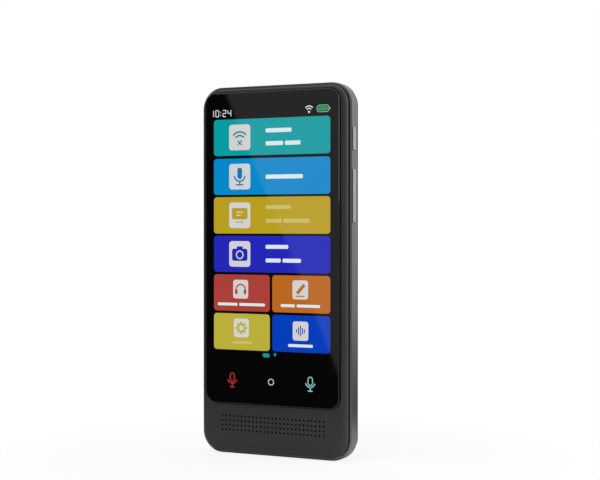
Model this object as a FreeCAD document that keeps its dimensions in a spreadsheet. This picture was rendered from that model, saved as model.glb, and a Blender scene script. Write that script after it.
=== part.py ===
"""Handheld translator, standing upright on its lower edge.

X runs to the right seen from the screen side, Y runs from the screen to the back, Z runs up.
The origin is the middle of the footprint, at the height of the lower edge. Lengths are in millimetres.
"""
import FreeCAD, Part
import math
import os
import Sketcher

# Driving dimensions, one per cell of the sheet
DIMENSIONS = {
    # Outer body
    "body_width": 64.2,
    "body_height": 142.0,
    "body_corner": 8.3,
    "band_depth": 5.6,
    "band_wall": 1.4,
    "band_chamfer": 0.5,
    "groove_width": 0.45,
    "groove_depth": 0.4,
    "seat_gap": 0.1,
    # Front shell
    "front_depth": 2.5,
    "front_inset": 1.0,
    "front_round": 2.1,
    "front_wall": 1.2,
    "ledge_width": 1.9,
    "recess_depth": 0.5,
    # Screen glass
    "glass_side_margin": 3.5,
    "glass_top_margin": 2.6,
    "glass_bottom": 19.7,
    "glass_corner": 4.2,
    "glass_thick": 1.3,
    "glass_bevel": 0.3,
    "glass_gap": 0.35,
    "glass_glue": 0.2,
    "glue_margin": 0.15,
    # Screen stack behind the glass
    "sensor_thick": 0.15,
    "sensor_margin": 0.3,
    "clear_glue": 0.15,
    "panel_side_margin": 2.4,
    "key_strip": 13.3,
    "panel_top_margin": 2.4,
    "panel_corner": 1.2,
    "panel_thick": 1.0,
    "backlight_thick": 0.8,
    "backlight_margin": 0.4,
    # Speaker grille
    "hole_radius": 0.39,
    "grille_side_margin": 6.76,
    "row_pitch": 1.79,
    "grille_height": 12.15,
    "hole_columns": 27,
    "hole_rows": 4,
    # Rear shell
    "rear_depth": 4.1,
    "rear_inset": 1.0,
    "rear_round": 2.2,
    "rear_wall": 1.3,
    "lip_wall": 1.0,
    "lip_reach": 0.7,
    # Camera window in the rear shell
    "window_side_margin": 9.7,
    "window_height": 9.9,
    "window_corner": 2.6,
    "window_drop": 13.2,
    "window_thick": 0.8,
    "window_sunk": 0.35,
    "window_slope": 0.7,
    "window_gap": 0.1,
    "window_glue": 0.15,
    "window_boss": 1.0,
    "window_rim": 1.3,
    "camera_bore": 3.3,
    # Chassis plate
    "chassis_thick": 1.0,
    "chassis_gap": 0.15,
    "chassis_foot": 19.0,
    "chassis_slot_width": 22.0,
    "chassis_slot_height": 3.0,
    "post_radius": 1.9,
    "key_wall_thick": 1.2,
    "key_wall_rise": 2.9,
    "key_wall_margin": 2.0,
    "key_wall_corner": 0.8,
    # Battery
    "battery_side_margin": 10.1,
    "battery_foot": 24.0,
    "battery_depth": 5.8,
    "battery_top_gap": 3.5,
    "battery_corner": 1.0,
    "battery_glue": 0.2,
    "battery_board_height": 3.0,
    "battery_board_depth": 1.2,
    "battery_board_width": 24.0,
    # Main board
    "board_side_margin": 6.6,
    "board_top_margin": 4.5,
    "board_height": 50.0,
    "board_thick": 0.8,
    "board_corner": 2.0,
    "camera_notch_width": 11.0,
    "post_inset": 5.5,
    "post_rise": 3.1,
    "post_step": 27.0,
    "board_screw_radius": 0.7,
    "board_screw_head": 1.25,
    "board_screw_cap": 0.5,
    "board_screw_depth": 2.0,
    # Parts on the main board
    "can_post_gap": 3.0,
    "can_height": 24.0,
    "can_depth": 1.6,
    "can_sheet": 0.2,
    "can_rise": 18.5,
    "processor_size": 12.0,
    "memory_width": 11.5,
    "memory_height": 13.0,
    "power_chip_size": 6.0,
    "chip_depth": 0.9,
    "chip_shift": 0.5,
    "connector_width": 6.0,
    "connector_height": 2.2,
    "connector_depth": 0.9,
    "flex_thick": 0.12,
    "display_flex_width": 14.0,
    "display_flex_length": 6.0,
    "display_flex_tail": 2.4,
    "display_flex_rise": 3.5,
    "battery_flex_width": 5.0,
    "battery_flex_place": 8.0,
    "battery_plug_rise": 2.5,
    "board_flex_width": 2.4,
    "board_flex_gap": 0.6,
    "board_flex_overlap": 4.0,
    # Camera
    "camera_size": 8.6,
    "camera_depth": 3.2,
    "barrel_radius": 2.9,
    "barrel_wall": 0.7,
    "lens_thick": 0.6,
    "lens_sunk": 0.3,
    "camera_foam": 0.5,
    # Lower board with its socket
    "lower_board_margin": 6.1,
    "lower_board_height": 15.0,
    "lower_board_corner": 4.0,
    "lower_board_foot": 3.0,
    "lower_post_level": 5.0,
    "socket_width": 8.94,
    "socket_depth": 3.26,
    "socket_length": 6.9,
    "socket_wall": 0.3,
    "socket_corner": 1.5,
    "socket_slot_gap": 0.15,
    "tongue_width": 6.7,
    "tongue_depth": 0.7,
    "tongue_length": 5.4,
    "contact_thick": 0.06,
    "contact_width": 0.25,
    "contact_pitch": 0.5,
    "contact_count": 12,
    # Microphones
    "mic_width": 3.6,
    "mic_height": 2.7,
    "mic_depth": 1.1,
    "mic_hole": 0.5,
    "mic_place": 14.0,
    "mic_boot_lip": 0.1,
    "top_mic_place": 12.0,
    # Speaker
    "speaker_side_margin": 9.1,
    "speaker_height": 9.6,
    "speaker_depth": 3.4,
    "speaker_wall": 0.8,
    "speaker_corner": 1.4,
    "speaker_gasket": 0.5,
    "speaker_gasket_wall": 0.9,
    "speaker_gap": 0.15,
    "mesh_thick": 0.1,
    "mesh_play": 0.4,
    "cone_side_margin": 4.0,
    "cone_height": 5.0,
    "cone_corner": 1.2,
    "cone_thick": 0.3,
    "cone_sunk": 0.5,
    "roll_gap": 0.1,
    "coil_width": 12.0,
    "coil_height": 4.0,
    "coil_wall": 0.35,
    "coil_depth": 1.1,
    "coil_corner": 0.9,
    "magnet_depth": 1.2,
    "magnet_gap": 0.25,
    "magnet_rim": 0.9,
    # Side buttons
    "button_width": 2.2,
    "button_forward": 0.6,
    "button_proud": 0.35,
    "button_gap": 0.12,
    "button_round": 0.25,
    "button_corner": 0.8,
    "button_flange": 0.6,
    "button_flange_rim": 0.4,
    "button_flange_gap": 0.3,
    "stem_radius": 0.6,
    "stem_length": 0.35,
    "power_drop": 21.2,
    "power_length": 9.0,
    "volume_drop": 42.6,
    "volume_length": 20.2,
    "volume_key_spread": 12.0,
    "dome_radius": 1.4,
    "dome_rise": 0.35,
    "dome_sheet": 0.1,
    "dome_clearance": 0.05,
    "key_flex_width": 3.4,
    "key_flex_thick": 0.2,
    "key_bracket_thick": 0.4,
    # Touch keys below the picture
    "key_pitch": 16.9,
    "key_level": 28.8,
    "key_guide_radius": 3.2,
    "key_guide_depth": 0.7,
    "key_board_width": 44.0,
    "key_board_height": 5.4,
    "key_board_thick": 0.3,
    "key_lamp_size": 1.2,
    "key_lamp_depth": 0.5,
    # Screws that hold the chassis to the front shell
    "screw_radius": 0.6,
    "screw_head": 1.1,
    "screw_cap": 0.5,
    "screw_depth": 1.3,
    "screw_play": 0.1,
    "screw_side_margin": 3.6,
    "screw_lowest": 24.0,
    "screw_drop": 8.2,
    "screw_count": 4,
    # Film antennas
    "antenna_thick": 0.15,
    "antenna_width": 20.0,
    "antenna_height": 6.0,
    "antenna_inset": 15.1,
    "antenna_drop": 30.0,
    "lower_antenna_level": 10.5,
}

# Sizes that follow from others, worked out in the same sheet
FORMULAS = {
    "glass_width": "body_width - glass_side_margin * 2",
    "glass_height": "body_height - glass_bottom - glass_top_margin",
    "panel_width": "glass_width - panel_side_margin * 2",
    "panel_height": "glass_height - panel_top_margin - key_strip",
    "hole_pitch": "(glass_width - grille_side_margin * 2) / (hole_columns - 1)",
    "window_width": "body_width - window_side_margin * 2",
    "window_level": "body_height - window_drop",
    "board_width": "body_width - board_side_margin * 2",
    "board_top": "body_height - board_top_margin",
    "board_bottom": "board_top - board_height",
    "post_spread": "board_width - post_inset * 2",
    "post_level": "board_bottom + post_rise",
    "can_width": "post_spread - can_post_gap * 2",
    "can_level": "board_bottom + can_rise",
    "chip_spread": "can_width / 4 - chip_shift",
    "display_flex_level": "board_bottom + display_flex_rise",
    "battery_plug_level": "board_bottom + battery_plug_rise",
    "battery_width": "body_width - battery_side_margin * 2",
    "battery_height": "board_bottom - battery_foot - battery_top_gap",
    "battery_level": "battery_foot + battery_height / 2",
    "lower_board_width": "body_width - lower_board_margin * 2",
    "lower_post_spread": "lower_board_width - post_inset * 2",
    "speaker_width": "body_width - speaker_side_margin * 2",
    "cone_width": "speaker_width - cone_side_margin * 2",
    "power_level": "body_height - power_drop",
    "volume_level": "body_height - volume_drop",
    "screw_spread": "body_width - screw_side_margin * 2",
    "screw_step": "(body_height - screw_lowest - screw_drop) / (screw_count - 1)",
    "antenna_place": "body_width / 2 - antenna_inset",
    "antenna_level": "body_height - antenna_drop",
}

doc = FreeCAD.newDocument("HandheldTranslator")
sheet = doc.addObject("Spreadsheet::Sheet", "dims")
cells = [(alias, str(number)) for alias, number in DIMENSIONS.items()]
cells += [(alias, "=" + formula) for alias, formula in FORMULAS.items()]
for row, (alias, content) in enumerate(cells, start=1):
    sheet.set("A%d" % row, alias)
    sheet.setAlias("B%d" % row, alias)
    sheet.set("B%d" % row, content)
doc.recompute()


class Size:
    """A length with both its present value and the sheet expression that gives it."""

    def __init__(self, value, text):
        self.value = value
        self.text = text

    @staticmethod
    def of(other):
        if isinstance(other, Size):
            return other
        return Size(float(other), repr(float(other)))

    def join(self, sign, other, value):
        return Size(value, "(%s %s %s)" % (self.text, sign, other.text))

    def __add__(self, other):
        other = Size.of(other)
        return self.join("+", other, self.value + other.value)

    def __sub__(self, other):
        other = Size.of(other)
        return self.join("-", other, self.value - other.value)

    def __mul__(self, other):
        other = Size.of(other)
        return self.join("*", other, self.value * other.value)

    def __truediv__(self, other):
        other = Size.of(other)
        return self.join("/", other, self.value / other.value)

    def __radd__(self, other):
        return Size.of(other) + self

    def __rsub__(self, other):
        return Size.of(other) - self

    def __rmul__(self, other):
        return Size.of(other) * self

    def __neg__(self):
        return Size(-self.value, "(0 - %s)" % self.text)


class Sheet:
    """Gives each cell of the sheet by its alias."""

    def __getattr__(self, alias):
        return Size(float(sheet.get(alias)), "dims." + alias)


d = Sheet()
X_AXIS = FreeCAD.Vector(1, 0, 0)
Z_AXIS = FreeCAD.Vector(0, 0, 1)
ZERO = Size.of(0)
parts = []


def bind(thing, prop, size):
    """Ties a property to the sheet."""
    thing.setExpression(prop, Size.of(size).text)


def keep(thing, label):
    """Names a finished piece and puts it on the list of pieces to write."""
    thing.Label = label
    parts.append(thing)
    return thing


# Primitive pieces

def block(x, y, z, name="block"):
    """A box between two values along each axis."""
    box = doc.addObject("Part::Box", name)
    for prop, place, (low, high) in (("Length", "x", x), ("Width", "y", y), ("Height", "z", z)):
        bind(box, prop, Size.of(high) - low)
        bind(box, ".Placement.Base." + place, low)
    return box


def slab(centre_x, y, centre_z, width, height, name="slab"):
    """A box given by its centre and size across, and by its two faces along Y."""
    half_x = Size.of(width) / 2
    half_z = Size.of(height) / 2
    return block((centre_x - half_x, centre_x + half_x), y, (centre_z - half_z, centre_z + half_z), name)


def rod_y(x, y, z, radius, name="rod"):
    """A cylinder along Y."""
    rod = doc.addObject("Part::Cylinder", name)
    rod.Placement = FreeCAD.Placement(FreeCAD.Vector(), FreeCAD.Rotation(X_AXIS, -90))
    bind(rod, "Radius", radius)
    bind(rod, "Height", Size.of(y[1]) - y[0])
    for place, value in (("x", x), ("y", y[0]), ("z", z)):
        bind(rod, ".Placement.Base." + place, value)
    return rod


def rod_z(x, y, z, radius, name="rod"):
    """A cylinder along Z."""
    rod = doc.addObject("Part::Cylinder", name)
    bind(rod, "Radius", radius)
    bind(rod, "Height", Size.of(z[1]) - z[0])
    for place, value in (("x", x), ("y", y), ("z", z[0])):
        bind(rod, ".Placement.Base." + place, value)
    return rod


def cut(base, tools, name="cut"):
    """The base less every tool, one after the other."""
    result = base
    for tool in tools:
        step = doc.addObject("Part::Cut", name)
        step.Base = result
        step.Tool = tool
        result = step
    return result


def fuse(shapes, name="fuse"):
    """One solid out of touching shapes."""
    result = doc.addObject("Part::MultiFuse", name)
    result.Shapes = shapes
    return result


def group(shapes, name="group"):
    """Separate solids of one kind, kept together."""
    result = doc.addObject("Part::Compound", name)
    result.Links = shapes
    return result


# Sketched pieces

def new_body(label):
    return keep(doc.addObject("PartDesign::Body", label), label)


def origin_plane(body, role):
    return next(plane for plane in body.Origin.OriginFeatures if plane.Role == role)


def new_sketch(body, name, role, shift):
    """A sketch on an origin plane of its body, moved by a size along each of its own three axes."""
    sketch = body.newObject("Sketcher::SketchObject", name)
    sketch.AttachmentSupport = [(origin_plane(body, role), "")]
    sketch.MapMode = "FlatFace"
    for place, value in zip("xyz", shift):
        bind(sketch, ".AttachmentOffset.Base." + place, value)
    return sketch


def front_sketch(body, name, x, y, z):
    """A sketch seen from the screen side, at the depth y, with its own origin at x and z."""
    return new_sketch(body, name, "XZ_Plane", (Size.of(x), Size.of(z), -Size.of(y)))


def side_sketch(body, name, x, y, z):
    """A sketch seen from the right side, at the width x, with its own origin at y and z."""
    return new_sketch(body, name, "YZ_Plane", (Size.of(y), Size.of(z), Size.of(x)))


def level_sketch(body, name, x, y, z):
    """A sketch seen from above, at the height z, with its own origin at x and y."""
    return new_sketch(body, name, "XY_Plane", (Size.of(x), Size.of(y), Size.of(z)))


def draw_rounded(sketch, width, height, radius):
    """A rectangle with four round corners about the sketch's origin."""
    a = Size.of(width).value / 2
    b = Size.of(height).value / 2
    r = Size.of(radius).value
    quarter = math.pi / 2
    lines = [
        ((r - a, -b), (a - r, -b)),
        ((a, r - b), (a, b - r)),
        ((a - r, b), (r - a, b)),
        ((-a, b - r), (-a, r - b)),
    ]
    centres = [(a - r, r - b), (a - r, b - r), (r - a, b - r), (r - a, r - b)]
    line_ids = []
    for start, end in lines:
        segment = Part.LineSegment(FreeCAD.Vector(*start, 0), FreeCAD.Vector(*end, 0))
        line_ids.append(sketch.addGeometry(segment, False))
    arc_ids = []
    for turn, centre in enumerate(centres, start=-1):
        circle = Part.Circle(FreeCAD.Vector(*centre, 0), Z_AXIS, r)
        arc = Part.ArcOfCircle(circle, turn * quarter, (turn + 1) * quarter)
        arc_ids.append(sketch.addGeometry(arc, False))
    low, right, top, left = line_ids
    rules = [Sketcher.Constraint("Horizontal", low), Sketcher.Constraint("Horizontal", top)]
    rules += [Sketcher.Constraint("Vertical", right), Sketcher.Constraint("Vertical", left)]
    for side in range(4):
        rules.append(Sketcher.Constraint("Tangent", line_ids[side], 2, arc_ids[side], 1))
        rules.append(Sketcher.Constraint("Tangent", arc_ids[side], 2, line_ids[(side + 1) % 4], 1))
    for arc_id in arc_ids[1:]:
        rules.append(Sketcher.Constraint("Equal", arc_ids[0], arc_id))
    sketch.addConstraint(rules)
    half_width = Size.of(width) / 2
    half_height = Size.of(height) / 2
    sized = [
        (Sketcher.Constraint("DistanceX", -1, 1, right, 1, a), half_width),
        (Sketcher.Constraint("DistanceX", left, 1, -1, 1, a), half_width),
        (Sketcher.Constraint("DistanceY", -1, 1, top, 1, b), half_height),
        (Sketcher.Constraint("DistanceY", low, 1, -1, 1, b), half_height),
        (Sketcher.Constraint("Radius", arc_ids[0], r), Size.of(radius)),
    ]
    for rule, size in sized:
        bind(sketch, "Constraints[%d]" % sketch.addConstraint(rule), size)


def draw_circle(sketch, x, y, radius):
    """A circle whose centre is given from the sketch's origin, both values positive or zero."""
    x, y, radius = Size.of(x), Size.of(y), Size.of(radius)
    circle = Part.Circle(FreeCAD.Vector(x.value, y.value, 0), Z_AXIS, radius.value)
    circle_id = sketch.addGeometry(circle, False)
    sized = [
        (Sketcher.Constraint("DistanceX", -1, 1, circle_id, 3, x.value), x),
        (Sketcher.Constraint("DistanceY", -1, 1, circle_id, 3, y.value), y),
        (Sketcher.Constraint("Radius", circle_id, radius.value), radius),
    ]
    for rule, size in sized:
        bind(sketch, "Constraints[%d]" % sketch.addConstraint(rule), size)


def pad(body, sketch, length, backward=False, name="pad"):
    """Grows the sketch along its normal, or against it."""
    feature = body.newObject("PartDesign::Pad", name)
    feature.Profile = sketch
    feature.Reversed = backward
    bind(feature, "Length", length)
    doc.recompute()
    return feature


def pocket(body, sketch, length, forward=False, name="pocket"):
    """Cuts the sketch against its normal, or along it, and makes sure that something was cut."""
    before = body.Tip.Shape.Volume
    feature = body.newObject("PartDesign::Pocket", name)
    feature.Profile = sketch
    feature.Reversed = forward
    bind(feature, "Length", length)
    doc.recompute()
    if not feature.Shape.Volume < before:
        raise RuntimeError("%s cuts nothing from %s" % (name, body.Label))
    return feature


def row_of(body, feature, sketch, pitch, count, name="row"):
    """Repeats a feature along the sketch's horizontal axis."""
    row_feature = body.newObject("PartDesign::LinearPattern", name)
    row_feature.Originals = [feature]
    row_feature.Direction = (sketch, ["H_Axis"])
    bind(row_feature, "Length", pitch * (count - 1))
    bind(row_feature, "Occurrences", count)
    body.Tip = row_feature
    doc.recompute()
    return row_feature


def dress(body, kind, edges, size, name):
    """A fillet or chamfer on chosen edges of the body as it stands."""
    base = body.Tip
    names = ["Edge%d" % place for place, edge in enumerate(base.Shape.Edges, start=1) if edges(edge)]
    feature = body.newObject("PartDesign::" + kind, name)
    feature.Base = (base, names)
    bind(feature, "Radius" if kind == "Fillet" else "Size", size)
    doc.recompute()
    return feature


NEAR = 1e-4


def at_depth(y):
    """Picks the edges that lie in the plane at y."""
    def test(edge):
        box = edge.BoundBox
        return abs(box.YMin - y.value) < NEAR and abs(box.YMax - y.value) < NEAR
    return test


# Levels along Y, from the screen to the back
total_depth = d.glass_thick - d.recess_depth + d.glass_glue + d.front_depth + d.band_depth + d.rear_depth
y_glass = -(total_depth / 2)
y_glass_back = y_glass + d.glass_thick
y_shelf = y_glass_back + d.glass_glue
y_face = y_shelf - d.recess_depth
y_band = y_face + d.front_depth
y_band_back = y_band + d.band_depth
y_back = y_band_back + d.rear_depth
y_back_inside = y_back - d.rear_wall
y_sensor_back = y_glass_back + d.sensor_thick
y_panel = y_sensor_back + d.clear_glue
y_panel_back = y_panel + d.panel_thick
y_backlight = y_panel_back + d.backlight_thick
y_front_seat = y_band + d.groove_depth
y_rear_seat = y_band_back - d.groove_depth
y_chassis_back = y_front_seat + d.chassis_thick
y_socket = y_band + d.band_depth / 2
y_board = y_socket + d.socket_depth / 2
y_board_back = y_board + d.board_thick
y_mic = y_board - d.mic_depth / 2
y_button = y_band + d.band_depth / 2 - d.button_forward

# Outlines shared by the shells
middle = d.body_height / 2
inner_width = d.body_width - d.band_wall * 2
inner_height = d.body_height - d.band_wall * 2
inner_corner = d.body_corner - d.band_wall
glass_middle = d.glass_bottom + d.glass_height / 2
recess_width = d.glass_width + d.glass_gap * 2
recess_height = d.glass_height + d.glass_gap * 2
recess_corner = d.glass_corner + d.glass_gap
opening_width = recess_width - d.ledge_width * 2
opening_height = recess_height - d.ledge_width * 2
opening_corner = recess_corner - d.ledge_width
panel_middle = d.glass_bottom + d.glass_height - d.panel_top_margin - d.panel_height / 2


key_wall_low = d.volume_level - d.volume_length / 2 - d.key_wall_margin
key_wall_high = d.power_level + d.power_length / 2 + d.key_wall_margin
x_flange = d.body_width / 2 - d.band_wall - d.button_flange_gap
x_stem = x_flange - d.button_flange
x_dome = x_stem - d.stem_length - d.dome_clearance
x_key_flex = x_dome - d.dome_rise
x_key_bracket = x_key_flex - d.key_flex_thick
x_key_wall = x_key_bracket - d.key_bracket_thick


# Metal band

def make_band():
    body = new_body("metal_band")
    ring = front_sketch(body, "band_outline", 0, y_band_back, middle)
    draw_rounded(ring, d.body_width, d.body_height, d.body_corner)
    draw_rounded(ring, inner_width, inner_height, inner_corner)
    pad(body, ring, d.band_depth, name="band_ring")
    half_wall = d.band_wall.value / 2

    def outer(y):
        def test(edge):
            box = edge.BoundBox
            flat = abs(box.YMin - y.value) < NEAR and abs(box.YMax - y.value) < NEAR
            wide = max(abs(box.XMin), abs(box.XMax)) > d.body_width.value / 2 - half_wall
            tall = box.ZMin < half_wall or box.ZMax > d.body_height.value - half_wall
            return flat and (wide or tall)
        return test
    dress(body, "Chamfer", outer(y_band), d.band_chamfer, "front_chamfer")
    dress(body, "Chamfer", outer(y_band_back), d.band_chamfer, "rear_chamfer")
    for name, inset, y_from in (("front_groove", d.front_inset, y_front_seat),
                                ("rear_groove", d.rear_inset, y_band_back)):
        lip = inset - d.groove_width
        groove = front_sketch(body, name + "_outline", 0, y_from, middle)
        draw_rounded(groove, d.body_width - lip * 2, d.body_height - lip * 2, d.body_corner - lip)
        pocket(body, groove, d.groove_depth, forward=True, name=name)
    cut_depth = d.band_wall + d.button_proud + d.button_flange_gap
    for name, level, length in (("power", d.power_level, d.power_length),
                                ("volume", d.volume_level, d.volume_length)):
        slot = side_sketch(body, name + "_slot_outline", d.body_width / 2 + d.button_proud, y_button, level)
        draw_rounded(slot, d.button_width + d.button_gap * 2, length + d.button_gap * 2,
                     d.button_corner + d.button_gap)
        pocket(body, slot, cut_depth, name=name + "_slot")
    mouth = level_sketch(body, "socket_mouth_outline", 0, y_socket, 0)
    draw_rounded(mouth, d.socket_width + d.socket_slot_gap * 2, d.socket_depth + d.socket_slot_gap * 2,
                 d.socket_corner + d.socket_slot_gap)
    pocket(body, mouth, d.band_wall * 2, forward=True, name="socket_mouth")
    low_hole = level_sketch(body, "lower_sound_hole_outline", 0, y_mic, 0)
    draw_circle(low_hole, d.mic_place, 0, d.mic_hole)
    pocket(body, low_hole, d.band_wall * 2, forward=True, name="lower_sound_hole")
    high_hole = level_sketch(body, "upper_sound_hole_outline", 0, y_mic, d.body_height)
    draw_circle(high_hole, d.top_mic_place, 0, d.mic_hole)
    pocket(body, high_hole, d.band_wall * 2, name="upper_sound_hole")


# Front shell with the screen recess and the speaker grille

def screw_places():
    """Chassis screws down both long sides, as pairs of x and z; none where the key wall stands."""
    places = []
    for side in (-1, 1):
        for step in range(int(d.screw_count.value)):
            x = d.screw_spread / 2 * side
            z = d.screw_lowest + d.screw_step * step
            reach = d.screw_head.value
            beside_keys = key_wall_low.value - reach < z.value < key_wall_high.value + reach
            if side == 1 and beside_keys:
                continue
            places.append((x, z))
    return places


def make_front_shell():
    body = new_body("front_housing")
    shell_depth = d.front_depth + d.groove_depth
    outline = front_sketch(body, "shell_outline", 0, y_front_seat, middle)
    draw_rounded(outline, d.body_width - d.front_inset * 2, d.body_height - d.front_inset * 2,
                 d.body_corner - d.front_inset)
    pad(body, outline, shell_depth, name="shell_plate")
    dress(body, "Fillet", at_depth(y_face), d.front_round, "front_edge")
    recess = front_sketch(body, "recess_outline", 0, y_face, glass_middle)
    draw_rounded(recess, recess_width, recess_height, recess_corner)
    pocket(body, recess, d.recess_depth, name="glass_recess")
    opening = front_sketch(body, "opening_outline", 0, y_face, glass_middle)
    draw_rounded(opening, opening_width, opening_height, opening_corner)
    pocket(body, opening, shell_depth, name="screen_opening")
    chamber = front_sketch(body, "speaker_chamber_outline", 0, y_front_seat, d.grille_height)
    draw_rounded(chamber, d.speaker_width + d.speaker_gap * 2, d.speaker_height + d.speaker_gap * 2,
                 d.speaker_corner + d.speaker_gap)
    pocket(body, chamber, shell_depth - d.front_wall, forward=True, name="speaker_chamber")
    posts = front_sketch(body, "lower_posts_outline", -(d.lower_post_spread / 2), y_board, d.lower_post_level)
    for along in (0, 1):
        draw_circle(posts, d.lower_post_spread * along, 0, d.post_radius)
    pad(body, posts, y_board - y_front_seat, name="lower_posts")
    bores = front_sketch(body, "post_bores_outline", -(d.lower_post_spread / 2), y_board, d.lower_post_level)
    for along in (0, 1):
        draw_circle(bores, d.lower_post_spread * along, 0, d.board_screw_radius + d.screw_play)
    pocket(body, bores, d.board_screw_depth + d.screw_play, forward=True, name="post_bores")
    for place, (x, z) in enumerate(screw_places(), start=1):
        hole = front_sketch(body, "screw_hole_outline_%d" % place, x, y_front_seat, z)
        draw_circle(hole, 0, 0, d.screw_radius + d.screw_play)
        pocket(body, hole, d.screw_depth + d.screw_play, forward=True, name="screw_hole_%d" % place)
    first_x = -(d.hole_pitch * (d.hole_columns - 1) / 2)
    first_z = d.grille_height - d.row_pitch * (d.hole_rows - 1) / 2
    column = front_sketch(body, "hole_column_outline", first_x, y_face, first_z)
    for step in range(int(d.hole_rows.value)):
        draw_circle(column, 0, d.row_pitch * step, d.hole_radius)
    holes = pocket(body, column, d.front_wall, name="hole_column")
    row_of(body, holes, column, d.hole_pitch, d.hole_columns, name="grille")


# Rear shell with its camera window

def make_rear_shell():
    body = new_body("rear_cover")
    outline = front_sketch(body, "cover_outline", 0, y_rear_seat, middle)
    draw_rounded(outline, d.body_width - d.rear_inset * 2, d.body_height - d.rear_inset * 2,
                 d.body_corner - d.rear_inset)
    pad(body, outline, y_back - y_rear_seat, backward=True, name="cover_plate")
    dress(body, "Fillet", at_depth(y_back), d.rear_round, "rear_edge")
    lip_inset = d.band_wall + d.seat_gap
    lip = front_sketch(body, "lip_outline", 0, y_rear_seat, middle)
    draw_rounded(lip, d.body_width - lip_inset * 2, d.body_height - lip_inset * 2, d.body_corner - lip_inset)
    pad(body, lip, d.lip_reach, name="lip")
    hollow_inset = lip_inset + d.lip_wall
    hollow = front_sketch(body, "hollow_outline", 0, y_rear_seat - d.lip_reach, middle)
    draw_rounded(hollow, d.body_width - hollow_inset * 2, d.body_height - hollow_inset * 2,
                 d.body_corner - hollow_inset)
    pocket(body, hollow, y_back_inside - y_rear_seat + d.lip_reach, name="hollow")
    boss = front_sketch(body, "window_boss_outline", 0, y_back_inside, d.window_level)
    draw_rounded(boss, d.window_width + d.window_rim * 2, d.window_height + d.window_rim * 2,
                 d.window_corner + d.window_rim)
    pad(body, boss, d.window_boss, name="window_boss")
    seat = front_sketch(body, "window_seat_outline", 0, y_back, d.window_level)
    draw_rounded(seat, d.window_width + d.window_gap * 2, d.window_height + d.window_gap * 2,
                 d.window_corner + d.window_gap)
    pocket(body, seat, d.window_sunk + d.window_thick + d.window_glue, forward=True, name="window_seat")
    body_back = y_back.value
    reach = d.window_width.value / 2 + d.window_gap.value + NEAR

    def rim(edge):
        box = edge.BoundBox
        flat = abs(box.YMin - body_back) < NEAR and abs(box.YMax - body_back) < NEAR
        return flat and max(abs(box.XMin), abs(box.XMax)) < reach
    dress(body, "Chamfer", rim, d.window_slope, "window_slope")
    bore = front_sketch(body, "camera_bore_outline", 0, y_back, d.window_level)
    draw_circle(bore, 0, 0, d.camera_bore)
    pocket(body, bore, y_back - y_back_inside + d.window_boss, forward=True, name="camera_bore")


# Chassis plate between the screen and the electronics

def make_chassis():
    body = new_body("chassis_plate")
    inset = d.band_wall + d.chassis_gap
    top = d.body_height - inset
    plate = front_sketch(body, "chassis_outline", 0, y_chassis_back, (top + d.chassis_foot) / 2)
    draw_rounded(plate, d.body_width - inset * 2, top - d.chassis_foot, d.body_corner - inset)
    pad(body, plate, d.chassis_thick, name="plate")
    wall_height = key_wall_high - key_wall_low
    wall = side_sketch(body, "key_wall_outline", x_key_wall, y_chassis_back + d.key_wall_rise / 2 - NEAR,
                       (key_wall_low + key_wall_high) / 2)
    draw_rounded(wall, d.key_wall_rise, wall_height, d.key_wall_corner)
    pad(body, wall, d.key_wall_thick, backward=True, name="key_wall")
    notch_width = d.body_width / 2 - x_key_wall
    notch = front_sketch(body, "key_notch_outline", x_key_wall + notch_width / 2, y_chassis_back,
                         (key_wall_low + key_wall_high) / 2)
    draw_rounded(notch, notch_width, wall_height, d.key_wall_corner)
    pocket(body, notch, d.chassis_thick, forward=True, name="key_notch")
    slot = front_sketch(body, "flex_slot_outline", 0, y_chassis_back, d.display_flex_level)
    draw_rounded(slot, d.chassis_slot_width, d.chassis_slot_height, d.chassis_slot_height / 3)
    pocket(body, slot, d.chassis_thick, forward=True, name="flex_slot")
    posts = front_sketch(body, "posts_outline", -(d.post_spread / 2), y_board, d.post_level)
    for across in (0, 1):
        for up in (0, 1):
            draw_circle(posts, d.post_spread * across, d.post_step * up, d.post_radius)
    pad(body, posts, y_board - y_chassis_back, name="posts")
    bores = front_sketch(body, "post_bores_outline", -(d.post_spread / 2), y_board, d.post_level)
    for across in (0, 1):
        for up in (0, 1):
            draw_circle(bores, d.post_spread * across, d.post_step * up, d.board_screw_radius + d.screw_play)
    pocket(body, bores, d.board_screw_depth + d.screw_play, forward=True, name="post_bores")
    for place, (x, z) in enumerate(screw_places(), start=1):
        hole = front_sketch(body, "screw_hole_outline_%d" % place, x, y_chassis_back, z)
        draw_circle(hole, 0, 0, d.screw_radius + d.screw_play)
        pocket(body, hole, d.chassis_thick, forward=True, name="screw_hole_%d" % place)


# Flat sketched pieces

def make_plate(label, centre_z, y, width, height, radius):
    """A plate with round corners between two depths, on the middle line."""
    body = new_body(label)
    outline = front_sketch(body, label + "_outline", 0, y[1], centre_z)
    draw_rounded(outline, width, height, radius)
    pad(body, outline, y[1] - y[0], name="plate")
    return body


def make_ring(label, centre_z, y, width, height, radius, wall):
    """A flat ring with round corners between two depths, on the middle line."""
    body = new_body(label)
    outline = front_sketch(body, label + "_outline", 0, y[1], centre_z)
    draw_rounded(outline, width, height, radius)
    draw_rounded(outline, width - wall * 2, height - wall * 2, radius - wall)
    pad(body, outline, y[1] - y[0], name="ring")
    return body


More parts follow.
